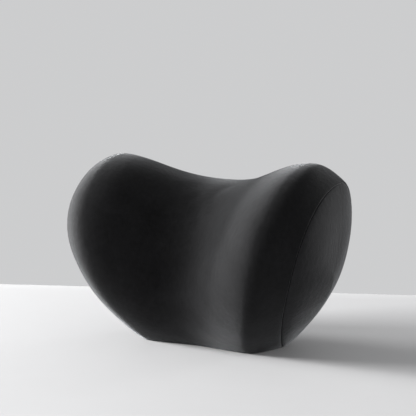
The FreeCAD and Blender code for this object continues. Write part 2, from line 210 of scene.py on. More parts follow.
# ---- camera in metres and degrees, table in millimetres ----
CAMERA_AZIMUTH = 29.5
CAMERA_RISE = 8.67
CAMERA_DISTANCE = 1.2937
LENS = 110.77
LOOK_AT = (0.0, -0.028, 0.09)
AIM_UP = 0.0498
AIM_RIGHT = 0.0073
CAMERA_ROLL = 0.53
TABLE_HALF_W = 2000.0
TABLE_NEAR = -2600.0
TABLE_FAR = 262.0
TABLE_TURN = -9.6
TABLE_T = 30.0
TABLE_STEPS = 91
TABLE_EDGE_RUN = 14.0
TABLE_EDGE_DROP = 8.0
TABLE_COLOUR = (0.52, 0.52, 0.525)


def lobe_profile(u, trio, crest_at, hollow):
    """Smooth curve from the middle up to the crest and on to the seam."""
    middle, crest, seam = trio
    u = np.abs(u)
    rise = (1 - np.cos(np.pi * np.minimum(u / crest_at, 1))) / 2
    inner = middle + (crest - middle) * rise ** hollow
    k = (u - crest_at) / (1 - crest_at)
    outer = crest + (seam - crest) * (1 - np.cos(np.pi / 2 * k))
    return np.where(u <= crest_at, inner, outer)


def across(u, trio, crest_at, hollow=1.0):
    """Value at u (0 middle, 1 side seam), near the trio, its crest rounded by averaging."""
    return sum(w * lobe_profile(u + step, trio, crest_at, hollow) for step, w in CREST_AVERAGE)


def half_width(z):
    """Parabola through the half widths at the base, the middle and the top."""
    a = BASE_HALF_W * (z - MID_LEVEL) * (z - TOP_LEVEL) / (MID_LEVEL * TOP_LEVEL)
    b = MID_HALF_W * z * (z - TOP_LEVEL) / (MID_LEVEL * (MID_LEVEL - TOP_LEVEL))
    c = TOP_HALF_W * z * (z - MID_LEVEL) / (TOP_LEVEL * (TOP_LEVEL - MID_LEVEL))
    return a + b + c


def body_points(u, t, inset=0.0):
    """Points of the wrap-round face in mm; t runs keel, front, top, back, keel."""
    front = np.cos(t) >= -TINY
    upper = np.sin(t) >= 0
    front_y = across(u, FRONT_Y, LOBE_FRONT_AT) + inset
    back_y = across(u, BACK_Y, LOBE_BACK_AT) - inset
    side_y = np.where(front, front_y, back_y)
    mid_z = np.where(front, across(u, FRONT_Z, LOBE_FRONT_AT), BACK_Z)
    end_y = np.where(upper, across(u, TOP_Y, LOBE_FRONT_AT), KEEL_Y)
    top_z = across(u, TOP_Z, LOBE_TOP_AT, TOP_HOLLOW) - inset
    keel_z = across(u, KEEL_Z, LOBE_FRONT_AT) + inset
    end_z = np.where(upper, top_z, keel_z)
    reach = np.abs(np.cos(t))
    tucked = (1 - UNDERCUT_ROUND) * reach ** UNDERCUT_POWER + UNDERCUT_ROUND * reach
    reach = np.where(upper, reach, tucked)
    y = end_y + (side_y - end_y) * reach
    z = mid_z + (end_z - mid_z) * np.abs(np.sin(t))
    return np.stack([u * (half_width(z) - inset), y, z], axis=-1)


def full_turn(count):
    """Turns once round the body, from keel to keel."""
    return np.linspace(-np.pi / 2, 1.5 * np.pi, count)


def floor_front(u):
    mid_z = across(u, FRONT_Z, LOBE_FRONT_AT)
    return -np.arcsin(mid_z / (mid_z - across(u, KEEL_Z, LOBE_FRONT_AT)))


def floor_back(u):
    return np.pi + np.arcsin(BACK_Z / (BACK_Z - across(u, KEEL_Z, LOBE_FRONT_AT)))


def top_seam(u):
    top = across(u, TOP_Y, LOBE_FRONT_AT)
    back = across(u, BACK_Y, LOBE_BACK_AT)
    return np.pi - np.arccos((TOP_SEAM_Y - top) / (back - top))


def mouth_half(u):
    """Half height of the zip's opening, which closes to a plain seam beyond the end stops."""
    x = np.abs(u) * half_width(np.full_like(u, ZIP_Z))
    k = np.clip((MOUTH_HALF_L + MOUTH_CLOSING - x) / (2 * MOUTH_CLOSING), 0, 1)
    return MOUTH_SEAM_H + (MOUTH_HALF_H - MOUTH_SEAM_H) * k * k * (3 - 2 * k)


def mouth_top(u):
    top_z = across(u, TOP_Z, LOBE_TOP_AT, TOP_HOLLOW)
    return np.pi - np.arcsin(mouth_half(u) / (top_z - BACK_Z))


def mouth_bottom(u):
    return np.pi + np.arcsin(mouth_half(u) / (BACK_Z - across(u, KEEL_Z, LOBE_FRONT_AT)))


# ---- grids ----
def stations(length, step):
    """Fractions along a panel: closer together near both of its seams."""
    rim = np.array(RIM)
    count = max(2, round((length - 2 * rim[-1]) / step))
    middle = np.linspace(rim[-1], length - rim[-1], count + 1)[1:-1]
    return np.concatenate([rim, middle, length - rim[::-1]]) / length


def unit(vectors):
    return vectors / np.maximum(np.linalg.norm(vectors, axis=-1, keepdims=True), TINY)


def grid_normals(points):
    """Unit normals of a grid of points; outward for u across and t running front to back."""
    du = np.gradient(points, axis=0)
    dv = np.gradient(points, axis=1)
    return unit(np.cross(du, dv))


def run_from(points, axis, back=False):
    """Distance of each grid point from the grid's first (or last) edge along one axis."""
    steps = np.linalg.norm(np.diff(points, axis=axis), axis=-1)
    first = np.zeros_like(np.take(steps, [0], axis=axis))
    run = np.concatenate([first, np.cumsum(steps, axis=axis)], axis=axis)
    if back:
        run = np.take(run, [-1], axis=axis) - run
    return run


def rim_drop(s, radius):
    """How far a rounded edge lies below its flat at distance s from the edge."""
    k = np.clip(1 - s / radius, 0, 1)
    return radius * (1 - np.sqrt(1 - k * k))


def drift(points):
    """Slow unevenness made of crossed waves, some 60 to 200 mm long; the same at every run."""
    x, y, z = points[..., 0], points[..., 1], points[..., 2]
    waves = np.sin(x / 17 + 0.8 * np.sin(z / 23)) * np.sin(z / 19 + y / 31 + 1.3)
    waves += 0.6 * np.sin(x / 9.5 + z / 13 + 2.1) * np.sin(y / 11 - z / 15)
    return DRIFT * waves / 1.6


def pucker(s, along):
    """Small gathers that run off a seam; s is the distance from it and along the place on it."""
    phase = 2 * np.pi * along / PUCKER_PITCH
    wave = np.sin(phase + 1.3 * np.sin(phase * 0.37)) + 0.5 * np.sin(phase * 1.71 + 1.0)
    return PUCKER * wave * np.exp(-s / PUCKER_RUN) * (1 - np.exp(-s / PUCKER_START))


# ---- meshes ----
def add_mesh(name, verts, faces):
    """Smooth object from verts in mm."""
    mesh = bpy.data.meshes.new(name)
    mesh.from_pydata((np.asarray(verts, float) * MM).tolist(), [], faces)
    mesh.validate()
    mesh.polygons.foreach_set("use_smooth", [True] * len(mesh.polygons))
    obj = bpy.data.objects.new(name, mesh)
    bpy.context.scene.collection.objects.link(obj)
    return obj


def grid_quads(rows, columns, offset=0, flip=False, wrap=False):
    index = np.arange(rows * columns).reshape(rows, columns) + offset
    if wrap:
        index = np.concatenate([index, index[:, :1]], axis=1)
    corners = [index[:-1, :-1], index[1:, :-1], index[1:, 1:], index[:-1, 1:]]
    quads = np.stack(corners, axis=-1).reshape(-1, 4)
    return (quads[:, ::-1] if flip else quads).tolist()


def face_outward(edit):
    bmesh.ops.recalc_face_normals(edit, faces=edit.faces)
    if edit.calc_volume(signed=True) < 0:
        bmesh.ops.reverse_faces(edit, faces=edit.faces)


def tidy_mesh(obj, merge=MERGE):
    edit = bmesh.new()
    edit.from_mesh(obj.data)
    bmesh.ops.remove_doubles(edit, verts=edit.verts, dist=merge)
    bmesh.ops.dissolve_degenerate(edit, dist=FINE_MERGE, edges=edit.edges)
    face_outward(edit)
    edit.to_mesh(obj.data)
    edit.free()
    obj.data.polygons.foreach_set("use_smooth", [True] * len(obj.data.polygons))
    return obj


def border(rows, columns):
    index = np.arange(rows * columns).reshape(rows, columns)
    return np.concatenate([index[0, :-1], index[:-1, -1], index[-1, :0:-1], index[:0:-1, 0]])


def closed_shell(name, outer, inner, edge, wrap):
    """Closed solid between two grids, joined along the edge, which is a row of point numbers."""
    rows, columns = outer.shape[:2]
    count = rows * columns
    faces = grid_quads(rows, columns, wrap=wrap)
    faces += grid_quads(rows, columns, count, flip=True, wrap=wrap)
    following = np.roll(edge, -1)
    faces += np.stack([edge, edge + count, following + count, following], axis=-1).tolist()
    verts = np.concatenate([outer.reshape(-1, 3), inner.reshape(-1, 3)])
    return tidy_mesh(add_mesh(name, verts, faces))


def sheet_shell(name, outer, inner):
    """Closed sheet between two grids."""
    return closed_shell(name, outer, inner, border(*outer.shape[:2]), wrap=False)


def ring_shell(name, outer, inner):
    """Closed dome between grids whose columns run all the way round and end in a pole."""
    return closed_shell(name, outer, inner, np.arange(outer.shape[1]), wrap=True)


def cut_level(obj, z):
    """Cuts off what is below z (mm) and closes the cut."""
    edit = bmesh.new()
    edit.from_mesh(obj.data)
    whole = list(edit.verts) + list(edit.edges) + list(edit.faces)
    bmesh.ops.bisect_plane(edit, geom=whole, plane_co=(0, 0, z * MM), plane_no=(0, 0, 1),
                           clear_inner=True)
    on_cut = [v for v in edit.verts if v.co.z < (z + 0.01) * MM]
    bmesh.ops.remove_doubles(edit, verts=on_cut, dist=2 * MERGE)
    edges = [e for e in edit.edges if e.is_boundary]
    filled = bmesh.ops.holes_fill(edit, edges=edges, sides=0)
    bmesh.ops.triangulate(edit, faces=filled["faces"], ngon_method="EAR_CLIP")
    face_outward(edit)
    edit.to_mesh(obj.data)
    edit.free()
    smooth = [abs(p.normal.z) < 0.999 or p.center.z > (z + 0.1) * MM for p in obj.data.polygons]
    obj.data.polygons.foreach_set("use_smooth", smooth)
    return obj


# ---- cushion surfaces ----
def dome_points(side, turns, rings, inset=0.0):
    """Grid of the side bulge: rows go from the seam to the pole, columns follow the seam."""
    loop = body_points(np.full_like(turns, float(side)), turns, inset)
    full = body_points(np.full(DOME_SAMPLES, float(side)), full_turn(DOME_SAMPLES), inset)
    centre = (full.min(axis=0) + full.max(axis=0)) / 2
    centre[0] = side * (MID_HALF_W - DOME_CENTRE_IN)
    lean = np.array([side, *SIDE_DOME_LEAN])
    lean *= (SIDE_DOME - inset / 2) / np.linalg.norm(lean)
    k = np.cos(np.pi / 2 * rings)[:, None, None]
    whole = math.hypot(1, SIDE_DOME_SOFT) - SIDE_DOME_SOFT
    soft = (np.hypot(k, SIDE_DOME_SOFT) - SIDE_DOME_SOFT) / whole
    scale = np.concatenate([soft, k, k], axis=-1)
    bulge = lean * np.maximum(1 - k * k, 0) ** SIDE_DOME_POWER
    return centre + bulge + (loop - centre)[None] * scale


def whole_body(name, inset, spacing):
    """The cushion's closed form at an inset, flat at its base, with points some spacing apart."""
    girth, width, dome_radius = 620, 270, 80
    turns = full_turn(round(girth / spacing) + 1)[:-1]
    u = np.sin(np.pi / 2 * np.linspace(-1, 1, round(width / spacing)))
    wrap = body_points(u[:, None] + 0 * turns[None], turns[None] + 0 * u[:, None], inset)
    rings = np.linspace(0, 1, round(dome_radius / spacing))
    left = dome_points(-1, turns, rings, inset)
    right = dome_points(1, turns, rings, inset)
    verts, faces, offset = [], [], 0
    for grid, flip in ((wrap, False), (left, True), (right, False)):
        rows, count = grid.shape[:2]
        verts.append(grid.reshape(-1, 3))
        faces += grid_quads(rows, count, offset, flip=flip, wrap=True)
        offset += rows * count
    obj = tidy_mesh(add_mesh(name, np.concatenate(verts), faces))
    return cut_level(obj, inset)


def evaluated(obj):
    return obj.evaluated_get(bpy.context.evaluated_depsgraph_get())


def tree_of(points):
    tree = KDTree(len(points))
    for i, p in enumerate(points):
        tree.insert(p, i)
    tree.balance()
    return tree


def swell():
    """Inflates the sewn cover as cloth held along its seams.

    Gives the places of its points and how far each one moves out, in mm.
    """
    body = whole_body("swell", SIM_INSET, SIM_SPACING)
    remesh = body.modifiers.new("remesh", "REMESH")
    remesh.mode = "VOXEL"
    remesh.voxel_size = SIM_VOXEL
    body.data = bpy.data.meshes.new_from_object(evaluated(body))
    body.modifiers.clear()
    rest = np.array([v.co for v in body.data.vertices]) / MM
    turns = full_turn(SIDE_SEAM_SAMPLES)
    seams = [body_points(np.full_like(turns, s), turns) for s in (-1.0, 1.0)]
    u = np.linspace(-1, 1, TOP_SEAM_SAMPLES)
    seams.append(body_points(u, top_seam(u)))
    tree = tree_of(np.concatenate(seams))
    held = body.vertex_groups.new(name="held")
    for i, p in enumerate(rest):
        grip = max(1 - tree.find(p)[2] / SIM_GRIP_RUN, 1.0 if p[2] < SIM_FLOOR else 0.0)
        if grip > 0:
            held.add([i], grip, "REPLACE")
    cloth = body.modifiers.new("cloth", "CLOTH")
    settings = cloth.settings
    settings.use_pressure = True
    settings.uniform_pressure_force = SIM_PRESSURE
    settings.vertex_group_mass = "held"
    settings.effector_weights.gravity = 0.0
    settings.tension_stiffness = SIM_STIFFNESS
    settings.compression_stiffness = SIM_STIFFNESS
    settings.bending_stiffness = SIM_BENDING
    cloth.point_cache.frame_start, cloth.point_cache.frame_end = 1, SIM_FRAMES
    for number in range(1, SIM_FRAMES + 1):
        bpy.context.scene.frame_set(number)
    after = np.array([v.co for v in evaluated(body).data.vertices]) / MM
    normals = np.array([v.normal for v in body.data.vertices])
    out = np.clip(((after - rest) * normals).sum(axis=1), 0, SIM_CAP)
    bpy.context.scene.frame_set(1)
    bpy.data.objects.remove(body)
    return rest, out


def swell_lookup():
    """Function that gives the swell, less its mean, at a grid of points."""
    rest, out = swell()
    tree = tree_of(rest)
    mean = out.mean()

    def look(points):
        flat = points.reshape(-1, 3)
        values = np.empty(len(flat))
        for i, p in enumerate(flat):
            near = tree.find_n(p, SIM_NEIGHBOURS)
            weights = [1 / (d + SIM_BLUR) ** 2 for _, _, d in near]
            values[i] = sum(w * out[j] for w, (_, j, _) in zip(weights, near)) / sum(weights)
        return (values - mean).reshape(points.shape[:-1])

    return look


SWELL = swell_lookup()


def smooth_grid(values):
    """Repeated average over neighbours, edges kept."""
    for _ in range(SIM_SMOOTHINGS):
        padded = np.pad(values, 1, mode="edge")
        beside = padded[:-2, 1:-1] + padded[2:, 1:-1] + padded[1:-1, :-2] + padded[1:-1, 2:]
        values = (beside + 2 * values) / 6
    return values


def dressed(points, normals, seams, radius, proud=0.0):
    """Fabric surface: rounded and drawn in at its seams, puckered near them and slightly uneven."""
    nearest = np.min([s for s, _ in seams], axis=0)
    along = seams[0][1]
    for s, a in seams[1:]:
        along = np.where(s <= nearest + NEAR_TIE, a, along)
    fade = np.clip(nearest / SIM_FADE, 0, 1) ** 2
    out = fade * (SIM_SHARE * smooth_grid(SWELL(points)) + drift(points))
    out = out + proud - SEAM_PULL * np.exp(-nearest / SEAM_PULL_RUN)
    for s, a in seams:
        out = out - rim_drop(s, radius) + pucker(s, a)
    return points + normals * out[..., None]


def wrap_cover(name, first, last, step, proud=0.0):
    """Cover panel of the wrap-round face; first and last give its two edges' turns at u."""
    u = (2 * stations(PANEL_W, step) - 1)[:, None]
    u = u * (1 - EDGE_GAP / MID_HALF_W)
    start, end = first(u), last(u)
    zero = np.zeros(1)
    middle_turns = np.linspace(first(zero)[0], last(zero)[0], MIDDLE_SAMPLES)[None]
    middle = body_points(np.zeros_like(middle_turns), middle_turns)
    middle_length = np.linalg.norm(np.diff(middle[0], axis=0), axis=1).sum()
    t = start + (end - start) * stations(middle_length, step)[None]
    points = body_points(u + 0 * t, t)
    normals = grid_normals(points)
    left, right = run_from(points, 0), run_from(points, 0, back=True)
    near, far = run_from(points, 1), run_from(points, 1, back=True)
    seams = [(left, near), (right, near), (near, left), (far, left)]
    outer = dressed(points, normals, seams, FRONT_RIM_R, proud)
    inner = points - normals * COVER_T
    return sheet_shell(name, outer, inner)


def side_cover(name, side):
    """Domed side panel of the cover; side is -1 or +1."""
    middle = np.arange(RIM[-1] + SIDE_STEP, DOME_W, SIDE_STEP)
    rings = np.concatenate([RIM, middle, [DOME_W]]) / DOME_W
    rings = 2 / np.pi * np.arccos(np.clip(1 - rings, 0, 1))
    points = dome_points(side, full_turn(SIDE_COLUMNS + 1)[:-1], rings)
    closed = np.concatenate([points, points[:, :1]], axis=1)
    du = np.gradient(points, axis=0)
    dv = (np.roll(points, -1, axis=1) - np.roll(points, 1, axis=1)) / 2
    normals = unit(np.cross(du, dv) * side)
    normals[-1] = normals[-2].mean(axis=0) / np.linalg.norm(normals[-2].mean(axis=0))
    run = run_from(points, 0)
    along = run_from(closed, 1)[:, :-1]
    along = np.broadcast_to(along[0], run.shape)
    outer = dressed(points, normals, [(run, along)], SIDE_RIM_R, SIDE_PROUD)
    inner = points - normals * COVER_T
    inner[-1] = inner[-1].mean(axis=0)
    outer[-1] = outer[-1].mean(axis=0)
    return cut_level(ring_shell(name, outer, inner), SIDE_FLOOR)


front_cover = wrap_cover("front_cover", floor_front, top_seam, FRONT_STEP, FRONT_PROUD)
upper_back_cover = wrap_cover("upper_back_cover", top_seam, mouth_top, BACK_STEP)
lower_back_cover = wrap_cover("lower_back_cover", mouth_bottom, floor_back, BACK_STEP)
left_side_cover = side_cover("left_side_cover", -1)
right_side_cover = side_cover("right_side_cover", 1)


def base_cover_mesh():
    """Flat base panel, stitched in just inside the hems, with its own rounded rim."""
    u = np.linspace(-1, 1, BASE_SAMPLES)
    front = body_points(u, floor_front(u), BASE_HEM)[:, :2]
    back = body_points(u, floor_back(u), BASE_HEM)[:, :2]
    outline = np.concatenate([front, back[::-1]])
    centre = np.array([0.0, (outline[:, 1].min() + outline[:, 1].max()) / 2])
    scales = np.concatenate([BASE_RIM_SCALES, np.linspace(*BASE_FLAT_SCALES)])
    drops = rim_drop(np.linspace(0, 1, len(scales)) * BASE_REACH, BASE_RIM_R)
    rings = []
    for scale, drop in zip(scales, drops):
        flat = centre + (outline - centre) * scale
        x, y = flat[:, 0], flat[:, 1]
        weave = BASE_WEAVE * np.sin(x / BASE_WEAVE_RUN) * np.sin(y / BASE_WEAVE_RUN)
        rings.append(np.column_stack([flat, BASE_LEVEL + drop * BASE_RIM_SHARE + weave]))
    outer = np.array(rings)
    outer[-1] = outer[-1].mean(axis=0)
    inner = outer.copy()
    inner[..., 2] = BASE_TOP
    return ring_shell("base_cover", outer, inner)


base_cover = base_cover_mesh()


def press_pocket(obj, levels):
    """Presses room for the zip into the back of an inner layer."""
    level, slider_level = levels
    for v in obj.data.vertices:
        x, y, z = (c / MM for c in v.co)
        if y < POCKET_FROM_Y:
            continue
        off = max(abs(x) - POCKET_HALF_L, abs(z - ZIP_Z) - POCKET_HALF_H, 0)
        limit = level + POCKET_SLOPE * off
        if abs(z - ZIP_Z) < SLIDER_HALF_H and abs(x) < POCKET_HALF_L:
            limit = slider_level
        v.co.y = min(y, limit) * MM
    return obj


def liner_mesh():
    """Knitted sack: one closed skin outside the foam."""
    outer = whole_body("liner_sack", LINER_INSET, LINER_SPACING)
    inner = whole_body("liner_inside", LINER_INSET + LINER_T, LINER_SPACING)
    press_pocket(outer, LINER_LEVELS)
    press_pocket(inner, LINER_INNER_LEVELS)
    inner.data.flip_normals()
    with bpy.context.temp_override(active_object=outer, selected_editable_objects=[outer, inner]):
        bpy.ops.object.join()
    return outer


foam_block = press_pocket(whole_body("foam_block", FOAM_INSET, FOAM_SPACING), FOAM_LEVELS)
liner_sack = liner_mesh()


# ---- swept pieces ----
def tilted(points):
    """Row-frame points (mm) from the strap's upright frame (x, n, z)."""
    points = np.asarray(points, float)
    turn = math.radians(STRAP_TILT)
    y = STRAP_Y + points[..., 1] * math.cos(turn) - points[..., 2] * math.sin(turn)
    z = STRAP_Z + points[..., 1] * math.sin(turn) + points[..., 2] * math.cos(turn)
    return np.stack([points[..., 0], y, z], axis=-1)


def softened_line(points, rounds=3):
    """Cuts the corners of a polyline, ends kept."""
    points = np.asarray(points, float)
    for _ in range(rounds):
        near = 0.75 * points[:-1] + 0.25 * points[1:]
        far = 0.25 * points[:-1] + 0.75 * points[1:]
        middle = np.stack([near, far], axis=1).reshape(-1, points.shape[1])
        points = np.concatenate([points[:1], middle[1:-1], points[-1:]])
    return points


def spaced(points, step):
    """A polyline's points again, evenly spaced."""
    points = np.asarray(points, float)
    run = np.concatenate([[0], np.cumsum(np.linalg.norm(np.diff(points, axis=0), axis=1))])
    at = np.linspace(0, run[-1], max(2, round(run[-1] / step) + 1))
    return np.stack([np.interp(at, run, points[:, i]) for i in range(points.shape[1])], axis=-1)


def arc(x, n, radius, start, end, count=10):
    """Points of an arc in the strap's plane; angles in degrees from +X towards +n."""
    turns = np.radians(np.linspace(start, end, count))
    return [(x + radius * math.cos(a), n + radius * math.sin(a)) for a in turns]


def webbing_section(half_w, half_t, rib_h):
    """Cross-section of ribbed webbing as (z, height) points, anticlockwise from the line's end."""
    z = np.linspace(-half_w, half_w, WEB_RIBS * 6 + 1)
    edge = np.clip((half_w - np.abs(z)) / (0.9 * half_t), 0, 1)
    round_off = np.sqrt(1 - (1 - edge) ** 2)
    rib = np.abs(np.sin(np.pi * WEB_RIBS * (z + half_w) / (2 * half_w)))
    height = (half_t - rib_h + rib_h * rib) * round_off
    upper = np.stack([z, height], axis=-1)
    lower = np.stack([z[::-1], -height[::-1]], axis=-1)
    return np.concatenate([upper, lower[1:-1]])


def sweep_ways(line):
    """Unit direction at each point of a line."""
    way = np.gradient(line, axis=0)
    return way / np.linalg.norm(way, axis=1, keepdims=True)


def closed_sweep(name, points):
    """Closed solid from rows of section points."""
    rows, columns = points.shape[:2]
    faces = grid_quads(rows, columns, wrap=True)
    faces += [list(range(columns)), list(range(rows * columns - 1, (rows - 1) * columns - 1, -1))]
    return tidy_mesh(add_mesh(name, points.reshape(-1, 3), faces), FINE_MERGE)


def swept(name, line, section, wobble=0.0):
    """Closed sweep of a (z, height) section along an (x, n) line in the strap's plane."""
    line = np.asarray(line, float)
    way = sweep_ways(line)
    side = np.stack([-way[:, 1], way[:, 0]], axis=-1)
    run = np.arange(len(line))
    height = section[None, :, 1] * (1 + wobble * np.sin(run * 2.4)[:, None])
    x = line[:, 0, None] + side[:, 0, None] * height
    n = line[:, 1, None] + side[:, 1, None] * height
    z = np.broadcast_to(section[None, :, 0], x.shape)
    return closed_sweep(name, tilted(np.stack([x, n, z], axis=-1)))


def strap_end(side):
    return [(side * x, n) for x, n in SEWN_LINE + LIFT_LINE]


WEB = webbing_section(STRAP_W / 2, STRAP_T / 2, WEB_RIB_H)
LOOP_WEB = webbing_section(STRAP_W / 2 - 0.2, STRAP_T / 2 - 0.05, LOOP_RIB_H)
RETURN_N = ADJUSTER_BAR_N - LOOP_R     # the webbing's run below the adjuster's bar, and above it
OVER_N = ADJUSTER_BAR_N + ADJUSTER_BAR_R + 0.1 + STRAP_T + 0.2 + STRAP_T / 2


def web(name, line):
    return swept(name, spaced(line, WEB_STEP), WEB, WEB_WOBBLE)


left_run = strap_end(-1) + [(SOCKET_BAR_X - 8, -WRAP_R - 0.4), (SOCKET_BAR_X - 3, -WRAP_R)]
left_turn = arc(SOCKET_BAR_X, 0, WRAP_R, -90, 90)
left_tail = [(SOCKET_BAR_X + x, n) for x, n in ((-3, 2.1), (-7, 0.6), (-13, -1.6), (-22, -2.9))]
left_line = np.concatenate([softened_line(left_run), left_turn, softened_line(left_tail, 2)])
left_web = web("left_web", left_line)

right_turn = [(PLUG_BAR_X + 3, -WRAP_R)] + arc(PLUG_BAR_X, 0, WRAP_R, 270, 90)
right_run = [(PLUG_BAR_X + 4, WRAP_R), (44, OVER_N), (ADJUSTER_X + 14, OVER_N)]
right_run += strap_end(1)[::-1]
right_web = web("right_web", np.concatenate([right_turn, softened_line(right_run)]))

return_web = web("return_web", [(PLUG_BAR_X + 3.1, -WRAP_R), (ADJUSTER_X - 6.1, RETURN_N)])

loop_line = [(ADJUSTER_X - 6, RETURN_N)]
loop_line += arc(ADJUSTER_X, ADJUSTER_BAR_N, LOOP_R, -90, 100, 14)
loop_line += [(ADJUSTER_X - 2.6, ADJUSTER_BAR_N + 1.1), (ADJUSTER_X - 4.6, ADJUSTER_BAR_N - 0.4)]
loop_web = swept("loop_web", spaced(loop_line, LOOP_STEP), LOOP_WEB)


def patch(name, side):
    """Reinforcing patch over the strap's end, with a turned hem."""
    lift = STRAP_T / 2 + PATCH_GAP + PATCH_T / 2
    line = [(side * x, n + lift) for x, n in (PATCH_END, *SEWN_LINE)]
    line = spaced(softened_line(line), PATCH_STEP)
    z = np.linspace(-PATCH_HALF_H, PATCH_HALF_H, 57)
    edge = np.clip((PATCH_HALF_H - np.abs(z)) / 0.6, 0, 1)
    hem = 0.5 + 0.12 * np.exp(-((np.abs(z) - 15.2) / 1.1) ** 2)
    height = np.sqrt(1 - (1 - edge) ** 2) * hem
    upper = np.stack([z, height], axis=-1)
    lower = np.stack([z[::-1], -0.45 * np.sign(height[::-1])], axis=-1)
    return swept(name, line, np.concatenate([upper, lower[1:-1]]))


left_patch = patch("left_patch", -1)
right_patch = patch("right_patch", 1)


# ---- zip ----
def tape(name, side):
    """Woven tape with a corded inner edge."""
    half_l = ZIP_HALF_L + TAPE_END
    x = np.linspace(-half_l, half_l, 163)[:, None]
    middle = np.linspace(1.0, TAPE_W - 1.0, 24)
    w = np.concatenate([TAPE_RIM, middle, TAPE_W - TAPE_RIM[::-1]])[None]
    z = ZIP_Z + side * (COIL_GAP + w) + 0 * x
    edge = np.minimum(np.minimum(w, TAPE_W - w), np.minimum(x + half_l, half_l - x))
    thick = TAPE_T / 2 * np.sqrt(1 - np.clip(1 - edge / 0.5, 0, 1) ** 2)
    rib = TAPE_RIB * np.sin(w * 2 * np.pi / TAPE_RIB_PITCH)
    front = np.stack([x + 0 * w, TAPE_Y + TAPE_T / 2 + thick + rib - TAPE_RIB, z], axis=-1)
    back = np.stack([x + 0 * w, TAPE_Y + TAPE_T / 2 - thick, z], axis=-1)
    return sheet_shell(name, front, back)


def tube_along(name, line, radius):
    """Round closed tube along points in mm."""
    way = sweep_ways(line)
    first = np.cross(way, [1.0, 0.0, 0.0])
    first /= np.linalg.norm(first, axis=1, keepdims=True)
    second = np.cross(way, first)
    turns = np.linspace(0, 2 * np.pi, 8, endpoint=False)[None, :, None]
    points = line[:, None] + radius * (first[:, None] * np.cos(turns)
                                       + second[:, None] * np.sin(turns))
    return closed_sweep(name, points)


def coil(name, side):
    """Nylon coil: a flattened helix whose turns are the zip's teeth."""
    turns = 2 * ZIP_HALF_L / COIL_PITCH
    a = np.linspace(0, 2 * np.pi * turns, round(turns * 14))
    x = -ZIP_HALF_L + 0.4 + (2 * ZIP_HALF_L - 0.8) * a / a[-1] + 0.18 * np.sin(2 * a)
    a = a + (0 if side > 0 else np.pi)
    z = ZIP_Z + side * (COIL_GAP + 0.85 + 1.05 * np.cos(a))
    y = TAPE_Y + TAPE_T + COIL_T / 2 + 0.66 * np.sin(a)
    return tube_along(name, np.stack([x, y, z], axis=-1), COIL_THREAD_R)


upper_tape = tape("upper_tape", 1)
lower_tape = tape("lower_tape", -1)
upper_coil = coil("upper_coil", 1)
lower_coil = coil("lower_coil", -1)


# ---- stitches ----
def stitches(name, runs):
    """Threads lying along runs of (points, normals) in mm, each one fat in its middle."""
    verts, faces = [], []
    rings = np.array([-1.0, -0.8, -0.3, 0.3, 0.8, 1.0])
    fat = np.array([0.25, 0.75, 1.0, 1.0, 0.75, 0.25])
    dip = np.array([-0.9, -0.35, 0.25, 0.25, -0.35, -0.9])
    turns = np.linspace(0, 2 * np.pi, THREAD_SIDES, endpoint=False)
    for points, normals in runs:
        points, normals = np.asarray(points, float), np.asarray(normals, float)
        steps = np.linalg.norm(np.diff(points, axis=0), axis=1)
        run = np.concatenate([[0], np.cumsum(steps)])

        def along(values, at):
            return np.array([np.interp(at, run, values[:, i]) for i in range(3)])

        for at in np.arange(STITCH_L / 2, run[-1] - STITCH_L / 2, STITCH_L + STITCH_GAP):
            centre = along(points, at)
            ahead = along(points, at + 0.4)
            up = along(normals, at)
            way = (ahead - centre) / np.linalg.norm(ahead - centre)
            up = up - way * up.dot(way)
            up /= np.linalg.norm(up)
            side = np.cross(way, up)
            base = len(verts)
            for r, f, d in zip(rings, fat, dip):
                hub = centre + way * r * STITCH_L / 2 + up * d * THREAD_R
                verts += [hub + THREAD_R * f * (math.cos(t) * side + math.sin(t) * up)
                          for t in turns]
            faces += grid_quads(len(rings), THREAD_SIDES, base, wrap=True)
            last = base + (len(rings) - 1) * THREAD_SIDES
            faces.append([base + j for j in range(THREAD_SIDES)])
            faces.append([last + j for j in range(THREAD_SIDES)][::-1])
    return tidy_mesh(add_mesh(name, verts, faces), FINE_MERGE)


def surface_run(cover, places):
    """Points and normals of a cover under (x, z) places in mm, seen from behind."""
    points, normals = [], []
    for x, z in places:
        hit, place, normal, _ = cover.ray_cast(Vector((x, 200, z)) * MM, Vector((0, -1, 0)))
        if hit:
            points.append(np.array(place) / MM)
            normals.append(np.array(normal))
    return points, normals


def zip_hem(cover, z):
    half_l = MOUTH_HALF_L + 2
    return surface_run(cover, [(x, z) for x in np.linspace(-half_l, half_l, 60)])


def local_run(path, lift):
    """Points and outward normals of a line of (x, n, z) in the strap's frame."""
    points = tilted([(x, n + lift, z) for x, n, z in path])
    turn = math.radians(STRAP_TILT)
    normal = (0.0, math.cos(turn), math.sin(turn))
    return points, [normal] * len(points)


def patch_box(side):
    """Box stitch with a cross, on a patch."""
    lift = STRAP_T / 2 + PATCH_GAP + PATCH_T + 0.02
    line_x, line_n = zip(*SEWN_LINE[::-1])
    low_out, low_in = (BOX_OUT, -BOX_HALF_H), (BOX_IN, -BOX_HALF_H)
    high_out, high_in = (BOX_OUT, BOX_HALF_H), (BOX_IN, BOX_HALF_H)
    corners = [low_out, low_in, high_in, high_out, low_out, high_in]
    sides = list(zip(corners[:-1], corners[1:])) + [(high_out, low_in)]
    made = []
    for (xa, za), (xb, zb) in sides:
        line = []
        for k in np.linspace(0, 1, 9):
            x = xa + (xb - xa) * k
            line.append((side * x, np.interp(x, line_x, line_n), za + (zb - za) * k))
        made.append(local_run(line, lift))
    return made


def bar_tack(x, n, lift):
    return local_run([(x, n, z) for z in np.linspace(-11, 11, 5)], lift)


